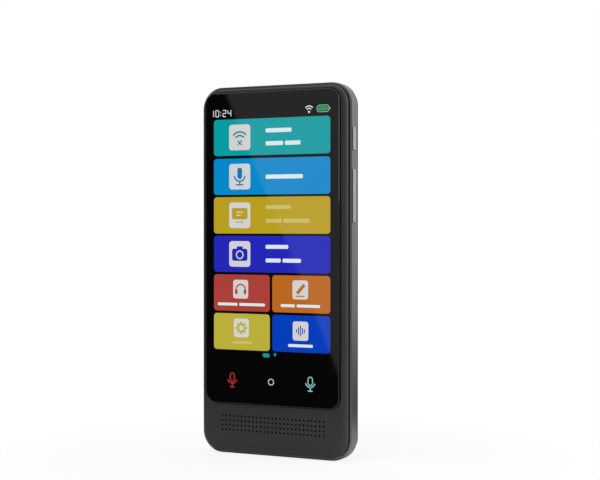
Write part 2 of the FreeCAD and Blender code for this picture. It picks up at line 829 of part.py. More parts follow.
def make_screen():
    glass = make_plate("touch_glass", glass_middle, (y_glass, y_glass_back),
                       d.glass_width, d.glass_height, d.glass_corner)
    dress(glass, "Chamfer", at_depth(y_glass), d.glass_bevel, "glass_bevel")
    glue_wall = d.ledge_width - d.glass_gap - d.glue_margin * 2
    glue_width = d.glass_width - d.glue_margin * 2
    glue_height = d.glass_height - d.glue_margin * 2
    make_ring("glass_adhesive", glass_middle, (y_glass_back, y_shelf), glue_width, glue_height,
              d.glass_corner - d.glue_margin, glue_wall)
    sensor_width = glue_width - glue_wall * 2 - d.sensor_margin * 2
    sensor_height = glue_height - glue_wall * 2 - d.sensor_margin * 2
    sensor_corner = d.glass_corner - d.glue_margin - glue_wall - d.sensor_margin
    make_plate("touch_sensor", glass_middle, (y_glass_back, y_sensor_back),
               sensor_width, sensor_height, sensor_corner)
    make_plate("clear_adhesive", panel_middle, (y_sensor_back, y_panel),
               d.panel_width, d.panel_height, d.panel_corner)
    make_plate("display_panel", panel_middle, (y_panel, y_panel_back),
               d.panel_width, d.panel_height, d.panel_corner)
    backlight_width = d.panel_width - d.backlight_margin * 2
    backlight_height = d.panel_height - d.backlight_margin * 2
    make_plate("display_backlight", panel_middle, (y_panel_back, y_backlight),
               backlight_width, backlight_height, d.panel_corner)
    foam_low = panel_middle - backlight_height / 2
    foam_high = d.display_flex_level - d.display_flex_length
    foam = slab(ZERO, (y_backlight, y_front_seat), (foam_low + foam_high) / 2, backlight_width,
                foam_high - foam_low)
    keep(foam, "display_foam")
    level = d.display_flex_level
    half = d.flex_thick / 2
    low_run = block((-(d.display_flex_width / 2), d.display_flex_width / 2),
                    (y_backlight, y_backlight + d.flex_thick), (level - d.display_flex_length, level + half))
    through = block((-(d.display_flex_width / 2), d.display_flex_width / 2),
                    (y_backlight, y_plug), (level - half, level + half))
    tail = block((-(d.display_flex_width / 2), d.display_flex_width / 2),
                 (y_plug - d.flex_thick, y_plug), (level - half, level + d.display_flex_tail))
    keep(fuse([low_run, through, tail]), "display_flex")
    plug = slab(ZERO, (y_plug, y_board), level + d.connector_height / 2, d.display_flex_width,
                d.connector_height)
    keep(plug, "display_connector")


# Touch keys below the picture

def make_touch_keys():
    y_guide = y_sensor_back + d.key_guide_depth
    y_lamp = y_guide + d.key_lamp_depth
    y_key_board = y_lamp + d.key_board_thick
    guides = []
    lamps = []
    for step in (-1, 0, 1):
        x = d.key_pitch * step
        guides.append(rod_y(x, (y_sensor_back, y_guide), d.key_level, d.key_guide_radius))
        lamps.append(slab(x, (y_guide, y_lamp), d.key_level, d.key_lamp_size, d.key_lamp_size))
    keep(group(guides), "key_light_guides")
    keep(group(lamps), "key_lamps")
    keep(slab(ZERO, (y_lamp, y_key_board), d.key_level, d.key_board_width, d.key_board_height), "key_board")
    keep(slab(ZERO, (y_key_board, y_front_seat), d.key_level, d.key_board_width, d.key_board_height),
         "key_board_spacer")


# Screws

def make_screw(x, y_seat, z, shank, head, cap, depth):
    """A screw driven towards the screen, its head resting at y_seat."""
    stem = rod_y(x, (y_seat - depth, y_seat), z, shank)
    top = rod_y(x, (y_seat, y_seat + cap), z, head)
    return fuse([stem, top], "screw")


def make_screws():
    reach = d.chassis_thick + d.screw_depth
    chassis = [make_screw(x, y_chassis_back, z, d.screw_radius, d.screw_head, d.screw_cap, reach)
               for x, z in screw_places()]
    keep(group(chassis), "chassis_screws")
    reach = d.board_thick + d.board_screw_depth
    board = []
    for side in (-1, 1):
        for up in (0, 1):
            board.append(make_screw(d.post_spread / 2 * side, y_board_back, d.post_level + d.post_step * up,
                                    d.board_screw_radius, d.board_screw_head, d.board_screw_cap, reach))
    keep(group(board), "main_board_screws")
    lower = [make_screw(d.lower_post_spread / 2 * side, y_board_back, d.lower_post_level,
                        d.board_screw_radius, d.board_screw_head, d.board_screw_cap, reach)
             for side in (-1, 1)]
    keep(group(lower), "lower_board_screws")


# Main board and what it carries

def make_can(label, y_open, y_closed):
    """A sheet cap over the chips, open towards the board."""
    low, high = (y_open, y_closed) if y_open.value < y_closed.value else (y_closed, y_open)
    shell = slab(ZERO, (low, high), d.can_level, d.can_width, d.can_height)
    if y_open.value < y_closed.value:
        hollow_y = (low, high - d.can_sheet)
    else:
        hollow_y = (low + d.can_sheet, high)
    hollow = slab(ZERO, hollow_y, d.can_level, d.can_width - d.can_sheet * 2, d.can_height - d.can_sheet * 2)
    keep(cut(shell, [hollow]), label)


def make_main_board():
    board_height = d.board_top - d.board_bottom
    body = new_body("main_board")
    outline = front_sketch(body, "main_board_outline", 0, y_board_back, (d.board_top + d.board_bottom) / 2)
    draw_rounded(outline, d.board_width, board_height, d.board_corner)
    pad(body, outline, d.board_thick, name="plate")
    bores = front_sketch(body, "screw_bores_outline", -(d.post_spread / 2), y_board_back, d.post_level)
    for across in (0, 1):
        for up in (0, 1):
            draw_circle(bores, d.post_spread * across, d.post_step * up, d.board_screw_radius + d.screw_play)
    pocket(body, bores, d.board_thick, forward=True, name="screw_bores")
    notch_low = d.window_level - d.camera_notch_width / 2
    notch_high = d.board_top + d.board_corner * 2
    notch = front_sketch(body, "camera_notch_outline", 0, y_board_back, (notch_low + notch_high) / 2)
    draw_rounded(notch, d.camera_notch_width, notch_high - notch_low, d.board_corner / 2)
    pocket(body, notch, d.board_thick, forward=True, name="camera_notch")
    make_can("rear_shield_can", y_board_back, y_board_back + d.can_depth)
    make_can("front_shield_can", y_board, y_board - d.can_depth)
    y_chip = (y_board_back, y_board_back + d.chip_depth)
    keep(slab(-d.chip_spread, y_chip, d.can_level, d.processor_size, d.processor_size), "processor_chip")
    keep(slab(d.chip_spread, y_chip, d.can_level, d.memory_width, d.memory_height), "memory_chip")
    y_front_chip = (y_board - d.chip_depth, y_board)
    keep(slab(d.chip_spread, y_front_chip, d.can_level, d.power_chip_size, d.power_chip_size), "power_chip")


def make_battery():
    y_cell = y_chassis_back + d.battery_glue
    keep(slab(ZERO, (y_chassis_back, y_cell), d.battery_level, d.battery_width - d.battery_corner * 2,
              d.battery_height - d.battery_corner * 2), "battery_adhesive")
    make_plate("battery_cell", d.battery_level, (y_cell, y_cell + d.battery_depth),
               d.battery_width, d.battery_height, d.battery_corner)
    top = d.battery_level + d.battery_height / 2
    y_plug_back = y_board_back + d.battery_board_depth
    keep(block((-(d.battery_board_width / 2), d.battery_board_width / 2), (y_board_back, y_plug_back),
               (top, top + d.battery_board_height)), "battery_board")
    place = -d.battery_flex_place
    keep(slab(place, (y_board_back, y_plug_back), d.battery_plug_level, d.connector_width,
              d.connector_height), "battery_connector")
    lead = block((place - d.battery_flex_width / 2, place + d.battery_flex_width / 2),
                 (y_plug_back, y_plug_back + d.flex_thick), (top, d.battery_plug_level + d.connector_height / 2))
    keep(lead, "battery_lead")
    x_flex = d.battery_width / 2 + d.board_flex_gap
    flex_low = d.lower_board_foot + d.lower_board_height - d.board_flex_overlap
    flex = block((x_flex, x_flex + d.board_flex_width), (y_board_back, y_board_back + d.flex_thick),
                 (flex_low, d.board_bottom + d.board_flex_overlap))
    keep(flex, "board_link_flex")


# Camera behind the window

def make_camera():
    y_window_face = y_back - d.window_sunk
    y_window_rear = y_window_face - d.window_thick
    y_seat = y_window_rear - d.window_glue
    window = new_body("camera_window")
    outline = front_sketch(window, "window_outline", 0, y_window_face, d.window_level)
    draw_rounded(outline, d.window_width, d.window_height, d.window_corner)
    pad(window, outline, d.window_thick, name="window_plate")
    glue = new_body("window_adhesive")
    ring = front_sketch(glue, "glue_outline", 0, y_window_rear, d.window_level)
    draw_rounded(ring, d.window_width, d.window_height, d.window_corner)
    draw_circle(ring, 0, 0, d.camera_bore)
    pad(glue, ring, d.window_glue, name="glue_plate")
    y_boss = y_back_inside - d.window_boss
    y_module = y_boss - d.camera_foam
    y_module_front = y_module - d.camera_depth
    module = slab(ZERO, (y_module_front, y_module), d.window_level, d.camera_size, d.camera_size)
    keep(module, "camera_module")
    keep(slab(ZERO, (y_chassis_back, y_module_front), d.window_level, d.camera_size, d.camera_size),
         "camera_bracket")
    foam_hole = rod_y(ZERO, (y_module, y_boss), d.window_level, d.camera_bore)
    foam = slab(ZERO, (y_module, y_boss), d.window_level, d.camera_size, d.camera_size)
    keep(cut(foam, [foam_hole]), "camera_foam")
    barrel = rod_y(ZERO, (y_module, y_seat), d.window_level, d.barrel_radius)
    bore = rod_y(ZERO, (y_module, y_seat), d.window_level, d.barrel_radius - d.barrel_wall)
    keep(cut(barrel, [bore]), "camera_barrel")
    y_lens = y_seat - d.lens_sunk
    keep(rod_y(ZERO, (y_lens - d.lens_thick, y_lens), d.window_level, d.barrel_radius - d.barrel_wall),
         "camera_lens")


# Lower board with the charging socket

def make_socket():
    board = make_plate("lower_board", d.lower_board_foot + d.lower_board_height / 2, (y_board, y_board_back),
                       d.lower_board_width, d.lower_board_height, d.lower_board_corner)
    bores = front_sketch(board, "screw_bores_outline", -(d.lower_post_spread / 2), y_board_back,
                         d.lower_post_level)
    for along in (0, 1):
        draw_circle(bores, d.lower_post_spread * along, 0, d.board_screw_radius + d.screw_play)
    pocket(board, bores, d.board_thick, forward=True, name="screw_bores")
    body = new_body("socket_shell")
    ring = level_sketch(body, "socket_outline", 0, y_socket, 0)
    draw_rounded(ring, d.socket_width, d.socket_depth, d.socket_corner)
    draw_rounded(ring, d.socket_width - d.socket_wall * 2, d.socket_depth - d.socket_wall * 2,
                 d.socket_corner - d.socket_wall)
    pad(body, ring, d.socket_length, name="socket_wall")
    end = level_sketch(body, "socket_end_outline", 0, y_socket, d.socket_length - d.socket_wall)
    draw_rounded(end, d.socket_width, d.socket_depth, d.socket_corner)
    pad(body, end, d.socket_wall, name="socket_end")
    inside = d.socket_length - d.socket_wall
    tongue_y = (y_socket - d.tongue_depth / 2, y_socket + d.tongue_depth / 2)
    tongue_foot = inside - d.tongue_length
    keep(block((-(d.tongue_width / 2), d.tongue_width / 2), tongue_y, (tongue_foot, inside)), "socket_tongue")
    contacts = []
    first = -(d.contact_pitch * (d.contact_count - 1) / 2)
    for y_low in (tongue_y[0] - d.contact_thick, tongue_y[1]):
        for step in range(int(d.contact_count.value)):
            x = first + d.contact_pitch * step
            contacts.append(block((x - d.contact_width / 2, x + d.contact_width / 2),
                                  (y_low, y_low + d.contact_thick),
                                  (tongue_foot + d.contact_pitch, inside)))
    keep(group(contacts), "socket_contacts")


def make_microphones():
    y_mic_front = y_board - d.mic_depth
    low = d.lower_board_foot
    high = d.board_top
    inner_low = d.band_wall + d.seat_gap
    inner_high = d.body_height - d.band_wall - d.seat_gap
    cases = []
    boots = []
    for x, case_z, boot_z in ((d.mic_place, (low, low + d.mic_height), (inner_low, low)),
                              (d.top_mic_place, (high - d.mic_height, high), (high, inner_high))):
        across = (x - d.mic_width / 2, x + d.mic_width / 2)
        cases.append(block(across, (y_mic_front, y_board), case_z))
        boot = block(across, (y_mic_front, y_board), boot_z)
        passage = rod_z(x, y_mic, boot_z, d.mic_hole - d.mic_boot_lip)
        boots.append(cut(boot, [passage]))
    keep(group(cases), "microphones")
    keep(group(boots), "microphone_boots")


# Speaker behind the grille

def make_speaker():
    y_chamber = y_face + d.front_wall
    y_basket = y_chamber + d.speaker_gasket
    y_basket_back = y_basket + d.speaker_depth
    y_floor = y_basket_back - d.speaker_wall
    level = d.grille_height
    make_ring("speaker_gasket", level, (y_chamber, y_basket), d.speaker_width, d.speaker_height,
              d.speaker_corner, d.speaker_gasket_wall)
    keep(slab(ZERO, (y_chamber, y_chamber + d.mesh_thick), level,
              d.speaker_width - d.speaker_gasket_wall * 2 - d.mesh_play,
              d.speaker_height - d.speaker_gasket_wall * 2 - d.mesh_play), "speaker_mesh")
    basket = new_body("speaker_basket")
    outline = front_sketch(basket, "basket_outline", 0, y_basket_back, level)
    draw_rounded(outline, d.speaker_width, d.speaker_height, d.speaker_corner)
    pad(basket, outline, d.speaker_depth, name="basket_block")
    hollow_width = d.speaker_width - d.speaker_wall * 2
    hollow_height = d.speaker_height - d.speaker_wall * 2
    hollow_corner = d.speaker_corner - d.speaker_wall
    hollow = front_sketch(basket, "basket_hollow_outline", 0, y_basket, level)
    draw_rounded(hollow, hollow_width, hollow_height, hollow_corner)
    pocket(basket, hollow, d.speaker_depth - d.speaker_wall, name="basket_hollow")
    y_cone = y_basket + d.cone_sunk
    y_cone_back = y_cone + d.cone_thick
    make_plate("speaker_cone", level, (y_cone, y_cone_back), d.cone_width, d.cone_height, d.cone_corner)
    surround = new_body("speaker_surround")
    roll = front_sketch(surround, "surround_outline", 0, y_cone_back, level)
    draw_rounded(roll, hollow_width, hollow_height, hollow_corner)
    draw_rounded(roll, d.cone_width + d.roll_gap * 2, d.cone_height + d.roll_gap * 2,
                 d.cone_corner + d.roll_gap)
    pad(surround, roll, d.cone_thick, name="surround_ring")
    make_ring("voice_coil", level, (y_cone_back, y_cone_back + d.coil_depth), d.coil_width, d.coil_height,
              d.coil_corner, d.coil_wall)
    inset = (d.coil_wall + d.magnet_gap) * 2
    y_magnet = y_floor - d.magnet_depth
    keep(slab(ZERO, (y_magnet, y_floor), level, d.coil_width - inset, d.coil_height - inset), "speaker_magnet")
    outer_width = d.coil_width + d.magnet_gap * 2
    outer_height = d.coil_height + d.magnet_gap * 2
    yoke = slab(ZERO, (y_magnet, y_floor), level, outer_width + d.magnet_rim * 2,
                outer_height + d.magnet_rim * 2)
    window = slab(ZERO, (y_magnet, y_floor), level, outer_width, outer_height)
    keep(cut(yoke, [window]), "speaker_yoke")


# Side buttons, their snap domes and what carries them

def make_button(label, level, length, stems):
    """A bar through the band with a flange inside, and a stem for each dome, given by its rise."""
    body = new_body(label)
    outer_x = d.body_width / 2 + d.button_proud
    bar = side_sketch(body, label + "_outline", x_flange, y_button, level)
    draw_rounded(bar, d.button_width, length, d.button_corner)
    pad(body, bar, outer_x - x_flange, name="bar")
    outer = outer_x.value

    def face_edges(edge):
        box = edge.BoundBox
        return abs(box.XMin - outer) < NEAR and abs(box.XMax - outer) < NEAR
    dress(body, "Fillet", face_edges, d.button_round, "button_edge")
    flange = side_sketch(body, label + "_flange_outline", x_stem, y_button, level)
    draw_rounded(flange, d.button_width + d.button_flange_rim * 2, length + d.button_flange_rim * 2,
                 d.button_corner + d.button_flange_rim)
    pad(body, flange, d.button_flange, name="flange")
    for place, rise in enumerate(stems, start=1):
        stem = side_sketch(body, label + "_stem_outline_%d" % place, x_stem, y_button, level + rise)
        draw_circle(stem, 0, 0, d.stem_radius)
        pad(body, stem, d.stem_length, backward=True, name="stem_%d" % place)


def dome(level):
    """A thin snap dome standing on the key flex, a cap cut from a hollow ball."""
    ball_radius = (d.dome_radius * d.dome_radius + d.dome_rise * d.dome_rise) / (d.dome_rise * 2)
    x_centre = x_dome - ball_radius
    balls = []
    for radius in (ball_radius, ball_radius - d.dome_sheet):
        ball = doc.addObject("Part::Sphere", "ball")
        bind(ball, "Radius", radius)
        for place, value in (("x", x_centre), ("y", y_button), ("z", level)):
            bind(ball, ".Placement.Base." + place, value)
        balls.append(ball)
    shell = cut(balls[0], [balls[1]])
    reach = d.dome_radius
    room = block((x_key_flex, x_dome + d.dome_rise), (y_button - reach, y_button + reach),
                 (level - reach, level + reach))
    cap = doc.addObject("Part::Common", "cap")
    cap.Base = shell
    cap.Tool = room
    return cap


def make_keys():
    make_button("power_button", d.power_level, d.power_length, (ZERO,))
    spread = d.volume_key_spread / 2
    make_button("volume_button", d.volume_level, d.volume_length, (spread, -spread))
    keep(dome(d.power_level), "power_dome")
    keep(group([dome(d.volume_level + spread), dome(d.volume_level - spread)]), "volume_domes")
    y_flex = (y_button - d.key_flex_width / 2, y_button + d.key_flex_width / 2)
    z_flex = (key_wall_low + d.key_wall_corner, key_wall_high - d.key_wall_corner)
    keep(block((x_key_bracket, x_key_flex), y_flex, z_flex), "key_flex")
    keep(block((x_key_wall, x_key_bracket), y_flex, z_flex), "key_bracket")


# Film antennas on the inside of the rear shell

def make_antennas():
    y = (y_back_inside - d.antenna_thick, y_back_inside)
    films = [slab(-d.antenna_place, y, d.antenna_level, d.antenna_width, d.antenna_height),
             slab(d.antenna_place, y, d.lower_antenna_level, d.antenna_width, d.antenna_height)]
    keep(group(films), "film_antennas")


y_plug = y_board - d.connector_depth
make_band()
make_front_shell()
make_rear_shell()
make_chassis()
make_screen()
make_touch_keys()
make_screws()
make_main_board()
make_battery()
make_camera()
make_socket()
make_microphones()
make_speaker()
make_keys()
make_antennas()
doc.recompute()

for thing in doc.Objects:
    if "Invalid" in thing.State or "Error" in thing.State:
        raise RuntimeError("%s did not build: %s" % (thing.Name, thing.State))
for part in parts:
    if part.Shape.isNull() or not part.Shape.isValid():
        raise RuntimeError("%s has no valid shape" % part.Label)

os.makedirs("parts", exist_ok=True)
for part in parts:
    part.Shape.exportStep("parts/%s.step" % part.Label)
print("%d pieces written" % len(parts))
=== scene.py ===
"""Looks of the handheld translator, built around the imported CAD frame.

Pieces are given in millimetres. The floor, the lamps, the camera and the shader nodes use metres.
"""

import math

import bpy
import numpy as np
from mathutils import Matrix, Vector


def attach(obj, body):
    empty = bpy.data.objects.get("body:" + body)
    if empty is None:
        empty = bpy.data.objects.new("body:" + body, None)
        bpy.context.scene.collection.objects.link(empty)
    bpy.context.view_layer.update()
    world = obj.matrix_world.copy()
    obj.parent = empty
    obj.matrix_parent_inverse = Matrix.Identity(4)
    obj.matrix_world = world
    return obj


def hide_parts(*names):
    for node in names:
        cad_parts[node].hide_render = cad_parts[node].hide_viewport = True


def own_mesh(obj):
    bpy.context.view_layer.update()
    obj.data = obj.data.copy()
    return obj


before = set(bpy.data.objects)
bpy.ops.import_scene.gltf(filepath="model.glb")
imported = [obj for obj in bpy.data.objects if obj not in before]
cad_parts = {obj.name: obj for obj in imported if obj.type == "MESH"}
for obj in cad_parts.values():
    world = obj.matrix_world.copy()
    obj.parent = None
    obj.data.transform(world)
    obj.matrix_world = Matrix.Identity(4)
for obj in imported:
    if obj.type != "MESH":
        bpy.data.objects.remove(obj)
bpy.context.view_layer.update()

MM = 0.001
GLASS_FACE = -6.6
GLASS_SKIN = 0.03
GLASS_REAR = -5.3
GLASS_WIDTH = 57.2
GLASS_LOW = 19.7
GLASS_HIGH = 139.4
GLASS_CORNER = 4.2
GLASS_BEVEL = 0.3
BEVEL_MIDDLE = 0.09
WINDOW_WIDTH = 44.8
WINDOW_HEIGHT = 9.9
WINDOW_CORNER = 2.6
WINDOW_LEVEL = 128.8
WINDOW_FACE = 6.25
WINDOW_REAR = 5.45
WINDOW_BEVEL = 0.12
DOME_RADIUS = 1.4
DOME_RISE = 0.34
DOME_SHEET = 0.1
DOME_FOOT = 29.05
DOME_POINTS = 40
BUTTON_LEVEL = -0.9
SHARP_ANGLE = 32


# Surfaces from rings of points

def rounded(width, height, corner, steps):
    """Outline of a rounded rectangle round (0, 0), anticlockwise: four quarter circles of the corner's
    radius, joined by straight sides."""
    angles = np.linspace(0, math.pi / 2, steps)
    quarter = np.stack([np.cos(angles), np.sin(angles)], 1) * corner
    reach = np.array([width / 2 - corner, height / 2 - corner])
    corners = []
    for turn, signs in enumerate(((1, 1), (-1, 1), (-1, -1), (1, -1))):
        cosine, sine = math.cos(turn * math.pi / 2), math.sin(turn * math.pi / 2)
        bend = quarter @ np.array([[cosine, sine], [-sine, cosine]])
        corners.append(bend + reach * np.array(signs))
    return np.concatenate(corners)


def circle(radius, count):
    """Points at equal steps round a circle about (0, 0)."""
    angles = np.linspace(0, 2 * math.pi, count, endpoint=False)
    return np.stack([np.cos(angles), np.sin(angles)], 1) * radius


def skin(rings, loop=False):
    """Vertices and faces of a closed surface: rings of points along a path, joined by quads, with a flat
    face over each end ring, or joined last to first where the path is a loop. It is turned so that the
    sum of corner products, six times the volume, is positive."""
    rings = np.asarray(rings, dtype=float)
    rows, count = rings.shape[:2]
    spots = np.arange(rows * count).reshape(rows, count)
    upper = np.roll(spots, -1, 0) if loop else spots[1:]
    lower = spots if loop else spots[:-1]
    quads = np.stack([lower, np.roll(lower, -1, 1), np.roll(upper, -1, 1), upper], -1).reshape(-1, 4)
    faces = quads.tolist()
    points = rings.reshape(-1, 3)
    if not loop:
        faces += [spots[0][::-1].tolist(), spots[-1].tolist()]
    a, b, c, e = (points[quads[:, k]] for k in range(4))
    volume = (np.cross(a, b) * c).sum() + (np.cross(a, c) * e).sum()
    if not loop:
        for ring, way in ((rings[0], -1), (rings[-1], 1)):
            volume += way * (np.cross(ring, np.roll(ring, -1, 0)) * ring.mean(0)).sum()
    if volume < 0:
        faces = [face[::-1] for face in faces]
    return points, faces


def pane(outline, centre, y_front, y_back, turn=0.0):
    """A flat plate: the outline, turned and moved to its centre, at the back level and the front one."""
    cosine, sine = math.cos(turn), math.sin(turn)
    flat = outline @ np.array([[cosine, sine], [-sine, cosine]]) + np.array(centre)
    rings = [np.stack([flat[:, 0], np.full(len(flat), y), flat[:, 1]], 1) for y in (y_back, y_front)]
    return skin(rings)


def stroke(path, width, y_front, y_back, loop=False):
    """A line of even width: at each point of the path a rectangle across it, as wide as the line along the
    path's normal, and from the front level to the back one."""
    path = np.asarray(path, dtype=float)
    if loop:
        ahead = np.roll(path, -1, 0) - np.roll(path, 1, 0)
    else:
        ahead = np.gradient(path, axis=0)
    ahead /= np.linalg.norm(ahead, axis=1)[:, None]
    side = np.stack([-ahead[:, 1], ahead[:, 0]], 1) * width / 2
    left, right = path + side, path - side
    front, back = np.full(len(path), y_front), np.full(len(path), y_back)
    corners = ((left, front), (left, back), (right, back), (right, front))
    rings = np.stack([np.stack([flat[:, 0], level, flat[:, 1]], 1) for flat, level in corners], 1)
    return skin(rings, loop)


def arc(centre, radius, start, end, count=24):
    """Points along a circle's arc between two angles in degrees."""
    angles = np.radians(np.linspace(start, end, count))
    return np.stack([np.cos(angles), np.sin(angles)], 1) * radius + np.array(centre)


def turned(profile, centre, count=64):
    """A surface of revolution about Y: each profile point (radius, y) swept round the centre."""
    angles = np.linspace(0, 2 * math.pi, count, endpoint=False)
    radii, levels = np.array(profile).T
    rings = np.stack([np.outer(radii, np.cos(angles)) + centre[0], np.repeat(levels[:, None], count, 1),
                      np.outer(radii, np.sin(angles)) + centre[1]], -1)
    return skin(rings)


def piece(name, skins, material, body="case", smooth=False):
    """One object from several closed surfaces given in millimetres, riding on a body."""
    points, faces, start = [], [], 0
    for spots, loops in skins:
        points.append(spots)
        faces += [[start + k for k in face] for face in loops]
        start += len(spots)
    mesh = bpy.data.meshes.new(name)
    mesh.from_pydata((np.concatenate(points) * MM).tolist(), [], faces)
    mesh.update()
    mesh.polygons.foreach_set("use_smooth", [smooth] * len(mesh.polygons))
    if smooth:
        mesh.set_sharp_from_angle(angle=math.radians(SHARP_ANGLE))
    mesh.materials.append(material)
    made = bpy.data.objects.new(name, mesh)
    bpy.context.scene.collection.objects.link(made)
    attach(made, body)
    return made


# Shader arithmetic

class Wire:
    """An output of a node, with arithmetic that adds Math nodes."""

    def __init__(self, tree, socket):
        self.tree = tree
        self.socket = socket

    def math(self, operation, *others):
        node = self.tree.nodes.new("ShaderNodeMath")
        node.operation = operation
        for place, value in enumerate((self,) + others):
            if isinstance(value, Wire):
                self.tree.links.new(value.socket, node.inputs[place])
            else:
                node.inputs[place].default_value = value
        return Wire(self.tree, node.outputs[0])

    def __add__(self, other):
        return self.math("ADD", other)

    def __sub__(self, other):
        return self.math("SUBTRACT", other)

    def __mul__(self, other):
        return self.math("MULTIPLY", other)

    def clamp(self, low, high):
        return self.math("MAXIMUM", low).math("MINIMUM", high)

    def between(self, low, high):
        """0 below low, 1 above high and a smooth rise between them."""
        node = self.tree.nodes.new("ShaderNodeMapRange")
        node.interpolation_type = "SMOOTHSTEP"
        self.tree.links.new(self.socket, node.inputs["Value"])
        node.inputs["From Min"].default_value = low
        node.inputs["From Max"].default_value = high
        return Wire(self.tree, node.outputs["Result"])


class Shader:
    """A node tree of a material or the world, with one method that adds any node."""

    def __init__(self, tree):
        self.tree = tree

    def add(self, kind, output=0, settings=None, **inputs):
        """Adds a node and gives one of its outputs. An input is named with _ for each blank, or by n and
        its number, and is set to a value or fed by a Wire."""
        node = self.tree.nodes.new("ShaderNode" + kind)
        for name, value in (settings or {}).items():
            setattr(node, name, value)
        for name, value in inputs.items():
            numbered = name[0] == "n" and name[1:].isdigit()
            socket = node.inputs[int(name[1:]) if numbered else name.replace("_", " ")]
            if isinstance(value, Wire):
                self.tree.links.new(value.socket, socket)
            else:
                socket.default_value = value
        return Wire(self.tree, node.outputs[output])

    def mix(self, factor, first, second):
        return self.add("Mix", 2, {"data_type": "RGBA"}, n0=factor, n6=first, n7=second)

    def place(self):
        return self.add("TexCoord", "Object")

    def split(self, vector):
        """The X, Y and Z parts of a vector."""
        node = self.tree.nodes.new("ShaderNodeSeparateXYZ")
        self.tree.links.new(vector.socket, node.inputs[0])
        return [Wire(self.tree, output) for output in node.outputs]

    def noise(self, scale, stretch=(1, 1, 1), detail=4.0):
        where = self.add("Mapping", Vector=self.place(), Scale=stretch)
        return self.add("TexNoise", 0, Vector=where, Scale=scale, Detail=detail, Roughness=0.55)


GLOSS_SWING = 0.1


def linear(red, green, blue):
    """A colour written as in a picture, 0 to 255, as the linear colour that a node takes."""
    steps = np.array([red, green, blue]) / 255
    return tuple(np.where(steps <= 0.04045, steps / 12.92, ((steps + 0.055) / 1.055) ** 2.4)) + (1.0,)


def new_material(name):
    material = bpy.data.materials.new(name)
    material.use_nodes = True
    material.node_tree.nodes.clear()
    return material, Shader(material.node_tree)


def finish_material(material, surface):
    end = material.node_tree.nodes.new("ShaderNodeOutputMaterial")
    material.node_tree.links.new(surface.socket, end.inputs["Surface"])
    return material


def shaded(colour, share):
    """A colour at a share of its brightness."""
    return tuple(channel * share for channel in colour[:3]) + (1.0,)


def grained(name, colour, roughness, metallic=0.0, grain=900.0, depth=0.00002, stretch=(1, 1, 1)):
    """A plain finish with fine relief, and colour and gloss that vary a little from place to place."""
    material, s = new_material(name)
    patch = s.noise(60.0, stretch)
    fine = s.noise(grain, stretch, detail=6.0)
    base = s.mix(patch, shaded(colour, 0.85), colour)
    middle = roughness - GLOSS_SWING * 0.75
    rough = (patch * GLOSS_SWING + fine * (GLOSS_SWING / 2) + middle).clamp(0.02, 1.0)
    relief = s.add("Bump", 0, Strength=0.6, Distance=depth, Height=fine)
    surface = s.add("BsdfPrincipled", 0, Base_Color=base, Roughness=rough, Metallic=metallic, Normal=relief)
    return finish_material(material, surface)


def lit(name, colour):
    """The screen's light through the glass: its colour, a little uneven, under the same black gloss."""
    material, s = new_material(name)
    patch = s.noise(35.0, detail=2.0)
    glow = s.mix(patch, shaded(colour, 0.94), colour)
    rough = s.noise(18.0) * 0.02 + 0.008
    surface = s.add("BsdfPrincipled", 0, Base_Color=(0.002, 0.002, 0.002, 1), Roughness=rough, IOR=1.5,
                    Emission_Color=glow, Emission_Strength=1.0)
    return finish_material(material, surface)


def black_glass(name):
    """Black glass: almost no colour of its own, and faint smears in the gloss."""
    material, s = new_material(name)
    smear = s.noise(18.0)
    fine = s.noise(420.0, detail=3.0)
    rough = smear * 0.02 + fine * 0.004 + 0.006
    base = s.mix(smear, (0.0012, 0.0012, 0.0013, 1), (0.0022, 0.0022, 0.0024, 1))
    surface = s.add("BsdfPrincipled", 0, Base_Color=base, Roughness=rough, IOR=1.5)
    return finish_material(material, surface)


def woven(name, colour):
    """Fine wire mesh: two sets of ridges crossing at right angles, with painted shade, near black, in the
    grooves between them.
    """
    material, s = new_material(name)
    ridges = [s.add("TexWave", 1, {"bands_direction": way}, Vector=s.place(), Scale=1500.0)
              for way in ("X", "Z")]
    height = ridges[0].math("MAXIMUM", ridges[1])
    # Near black in the low grooves between the ridges: painted shade in the creases of the mesh.
    base = s.mix(height, (0.004, 0.004, 0.004, 1), colour)
    relief = s.add("Bump", 0, Strength=0.8, Distance=0.00003, Height=height)
    rough = height * 0.2 + 0.35
    surface = s.add("BsdfPrincipled", 0, Base_Color=base, Roughness=rough, Metallic=0.9, Normal=relief)
    return finish_material(material, surface)


def lens_coating(name):
    """Coated lens: deep blue in the middle, and almost black at the rim, with two pale strokes painted in
    as a reflection of a softbox and a faint painted glow over it all.
    """
    material, s = new_material(name)
    across, _, level = s.split(s.place())
    up = level - WINDOW_LEVEL * MM
    radius = (across * across + up * up).math("SQRT")
    blue = s.mix(radius.between(0.0003, 0.0020), linear(40, 84, 190), linear(6, 8, 16))
    # Two pale vertical strokes beside the middle: a painted reflection of a softbox, mixed into the lens
    # colour.
    beside = across.math("ABSOLUTE") - 0.0004
    painted_glint = (beside.math("ABSOLUTE") * -1.0 + 0.00022).between(0.0, 0.0001)
    painted_glint = painted_glint * (up.math("ABSOLUTE") * -1.0 + 0.0012).between(0.0, 0.0004)
    blue = s.mix(painted_glint * 0.8, blue, linear(190, 208, 240))
    rough = s.noise(300.0) * 0.03 + 0.03
    # The lens colour, painted strokes included, also glows faintly: painted light, since the lens is no
    # lamp.
    surface = s.add("BsdfPrincipled", 0, Base_Color=blue, Roughness=rough, Emission_Color=blue,
                    Emission_Strength=0.3, Coat_Weight=1.0, Coat_Roughness=0.03)
    return finish_material(material, surface)


# Finishes, by the record's material slots

